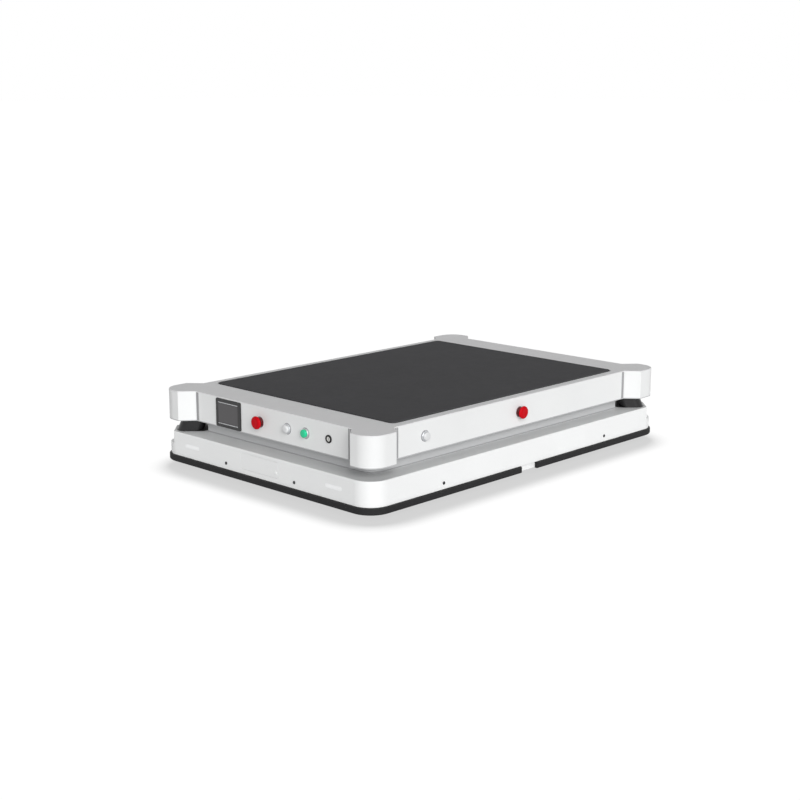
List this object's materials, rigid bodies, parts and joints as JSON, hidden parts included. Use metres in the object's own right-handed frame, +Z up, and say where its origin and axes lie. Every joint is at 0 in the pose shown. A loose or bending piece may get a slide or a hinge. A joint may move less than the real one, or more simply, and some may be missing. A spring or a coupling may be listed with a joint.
{
  "type": "autonomous mobile robot",
  "caption": "Low rectangular transport robot with rubber bumper, scanner slit, control panel, corner covers and a screw-lifted load platform on sprung drive wheels and swivel castors.",
  "frame": {"origin": "on the floor under the middle of the bumper outline", "axes": "+X drives forwards, towards the end with the display; +Y is the robot's left; +Z is up"},
  "size_m": [1.4, 0.96, 0.2603],
  "materials": {
    "white_skirt": "satin white moulding",
    "rubber": "matt black",
    "grey_cover": "fine grain",
    "lamp_lens": "frosted",
    "zinc_steel": "zinc plated",
    "frame_paint": "powder coat",
    "pin_steel": "ground",
    "spring_rubber": "matt black",
    "scanner_body": "matt black",
    "scanner_window": "smoked, glossy",
    "grey_top": "fine textured powder coat",
    "white_body": "satin white",
    "display_black": "satin black",
    "display_glass": "glossy, switched off",
    "estop_base": "satin",
    "collar_metal": "turned",
    "red_plastic": "glossy signal red",
    "white_plastic": "glossy",
    "green_plastic": "glossy",
    "lock_metal": "satin chrome",
    "bronze": "bearing bronze",
    "motor_metal": "black anodised",
    "battery_case": "grained",
    "box_aluminium": "plain",
    "arm_iron": "painted casting",
    "drive_tyre": "matt polyurethane tread",
    "fork_steel": "zinc plated",
    "castor_tyre": "matt grey tread",
    "platform_paint": "textured powder coat"
  },
  "bodies": {
    "chassis": {"base_plate": "frame_paint", "battery_pack": "battery_case", "button_collars": "collar_metal", "castor_plates": "zinc_steel", "charge_port_cover": "grey_cover", "control_box": "box_aluminium", "display_bezel": "display_black", "display_screen": "display_glass", "estop_collars": "estop_base", "frame_ribs": "frame_paint", "frame_wall": "frame_paint", "front_bumper": "rubber", "front_left_corner_cover": "white_body", "front_panel": "white_body", "front_right_corner_cover": "white_body", "lamp_lenses": "lamp_lens", "left_panel": "white_body", "left_spring": "spring_rubber", "lift_bearings": "bronze", "lift_motor": "motor_metal", "plinth_frame": "grey_top", "rear_bumper": "rubber", "rear_left_corner_cover": "white_body", "rear_panel": "white_body", "rear_right_corner_cover": "white_body", "right_panel": "white_body", "right_spring": "spring_rubber", "scanner_heads": "scanner_window", "scanner_housings": "scanner_body", "skirt_screws": "zinc_steel", "skirt_shell": "white_skirt", "suspension_brackets": "frame_paint", "top_frame": "grey_top"},
    "front_left_castor_swivel": {"front_left_castor_fork": "fork_steel"},
    "front_left_castor_roller": {"front_left_castor_wheel": "castor_tyre"},
    "rear_left_castor_swivel": {"rear_left_castor_fork": "fork_steel"},
    "rear_left_castor_roller": {"rear_left_castor_wheel": "castor_tyre"},
    "rear_right_castor_swivel": {"rear_right_castor_fork": "fork_steel"},
    "rear_right_castor_roller": {"rear_right_castor_wheel": "castor_tyre"},
    "front_right_castor_swivel": {"front_right_castor_fork": "fork_steel"},
    "front_right_castor_roller": {"front_right_castor_wheel": "castor_tyre"},
    "left_drive_arm": {"left_swing_arm": "arm_iron", "left_gearmotor": "motor_metal"},
    "left_wheel": {"left_drive_wheel": "drive_tyre"},
    "right_drive_arm": {"right_swing_arm": "arm_iron", "right_gearmotor": "motor_metal"},
    "right_wheel": {"right_drive_wheel": "drive_tyre"},
    "platform": {"lift_platform": "platform_paint", "platform_grid": "frame_paint", "guide_columns": "pin_steel"},
    "screw": {"lift_screw": "pin_steel", "lift_gear": "pin_steel"},
    "pinion": {"motor_pinion": "pin_steel"},
    "front_estop": {"front_estop_head": "red_plastic"},
    "left_estop": {"left_estop_head": "red_plastic"},
    "right_estop": {"right_estop_head": "red_plastic"},
    "front_white_key_cap": {"front_white_button": "white_plastic"},
    "front_green_key_cap": {"front_green_button": "green_plastic"},
    "left_white_key_cap": {"left_white_button": "white_plastic"},
    "key_lock": {"key_barrel": "lock_metal"}
  },
  "joints": [
    {"name": "front_left_castor_turn", "type": "hinge", "parent": "chassis", "child": "front_left_castor_swivel", "pos_m": [0.5, 0.285, 0.11], "axis": [0, 0, 1], "continuous": true},
    {"name": "front_left_castor_roll", "type": "hinge", "parent": "front_left_castor_swivel", "child": "front_left_castor_roller", "pos_m": [0.47, 0.285, 0.05], "axis": [0, 1, 0], "continuous": true},
    {"name": "rear_left_castor_turn", "type": "hinge", "parent": "chassis", "child": "rear_left_castor_swivel", "pos_m": [-0.5, 0.285, 0.11], "axis": [0, 0, 1], "continuous": true},
    {"name": "rear_left_castor_roll", "type": "hinge", "parent": "rear_left_castor_swivel", "child": "rear_left_castor_roller", "pos_m": [-0.53, 0.285, 0.05], "axis": [0, 1, 0], "continuous": true},
    {"name": "rear_right_castor_turn", "type": "hinge", "parent": "chassis", "child": "rear_right_castor_swivel", "pos_m": [-0.5, -0.285, 0.11], "axis": [0, 0, 1], "continuous": true},
    {"name": "rear_right_castor_roll", "type": "hinge", "parent": "rear_right_castor_swivel", "child": "rear_right_castor_roller", "pos_m": [-0.53, -0.285, 0.05], "axis": [0, 1, 0], "continuous": true},
    {"name": "front_right_castor_turn", "type": "hinge", "parent": "chassis", "child": "front_right_castor_swivel", "pos_m": [0.5, -0.285, 0.11], "axis": [0, 0, 1], "continuous": true},
    {"name": "front_right_castor_roll", "type": "hinge", "parent": "front_right_castor_swivel", "child": "front_right_castor_roller", "pos_m": [0.47, -0.285, 0.05], "axis": [0, 1, 0], "continuous": true},
    {"name": "left_arm_pivot", "type": "hinge", "parent": "chassis", "child": "left_drive_arm", "pos_m": [-0.112, 0.305, 0.076], "axis": [0, 1, 0], "range_deg": [-2, 2], "stiffness_Nm_per_rad": 160, "springref_deg": 14.32, "deforming": ["left_spring"]},
    {"name": "left_wheel_spin", "type": "hinge", "parent": "left_drive_arm", "child": "left_wheel", "pos_m": [0, 0.345, 0.09], "axis": [0, 1, 0], "continuous": true},
    {"name": "right_arm_pivot", "type": "hinge", "parent": "chassis", "child": "right_drive_arm", "pos_m": [-0.112, -0.305, 0.076], "axis": [0, 1, 0], "range_deg": [-2, 2], "stiffness_Nm_per_rad": 160, "springref_deg": 14.32, "deforming": ["right_spring"]},
    {"name": "right_wheel_spin", "type": "hinge", "parent": "right_drive_arm", "child": "right_wheel", "pos_m": [0, -0.345, 0.09], "axis": [0, 1, 0], "continuous": true},
    {"name": "platform_lift", "type": "slide", "parent": "chassis", "child": "platform", "axis": [0, 0, 1], "range_m": [0, 0.06]},
    {"name": "screw_spin", "type": "hinge", "parent": "chassis", "child": "screw", "pos_m": [0, 0, 0.1], "axis": [0, 0, 1], "range_deg": [-1, 2161]},
    {"name": "pinion_spin", "type": "hinge", "parent": "chassis", "child": "pinion", "pos_m": [0.108, 0, 0.1], "axis": [0, 0, 1], "range_deg": [-6483, 3]},
    {"name": "front_estop_push", "type": "slide", "parent": "chassis", "child": "front_estop", "axis": [-1, 0, 0], "range_m": [0, 0.0045]},
    {"name": "left_estop_push", "type": "slide", "parent": "chassis", "child": "left_estop", "axis": [0, -1, 0], "range_m": [0, 0.0045]},
    {"name": "right_estop_push", "type": "slide", "parent": "chassis", "child": "right_estop", "axis": [0, 1, 0], "range_m": [0, 0.0045]},
    {"name": "front_white_push", "type": "slide", "parent": "chassis", "child": "front_white_key_cap", "axis": [-1, 0, 0], "range_m": [0, 0.003], "stiffness_N_per_m": 1500},
    {"name": "front_green_push", "type": "slide", "parent": "chassis", "child": "front_green_key_cap", "axis": [-1, 0, 0], "range_m": [0, 0.003], "stiffness_N_per_m": 1500},
    {"name": "left_white_push", "type": "slide", "parent": "chassis", "child": "left_white_key_cap", "axis": [0, -1, 0], "range_m": [0, 0.003], "stiffness_N_per_m": 1500},
    {"name": "key_turn", "type": "hinge", "parent": "chassis", "child": "key_lock", "pos_m": [0.65, 0.259, 0.209], "axis": [1, 0, 0], "range_deg": [0, 90]}
  ],
  "couplings": [
    {"joint": "screw_spin", "follows": "platform_lift", "rad_per_m": 628.32},
    {"joint": "pinion_spin", "follows": "platform_lift", "rad_per_m": -1885}
  ]
}
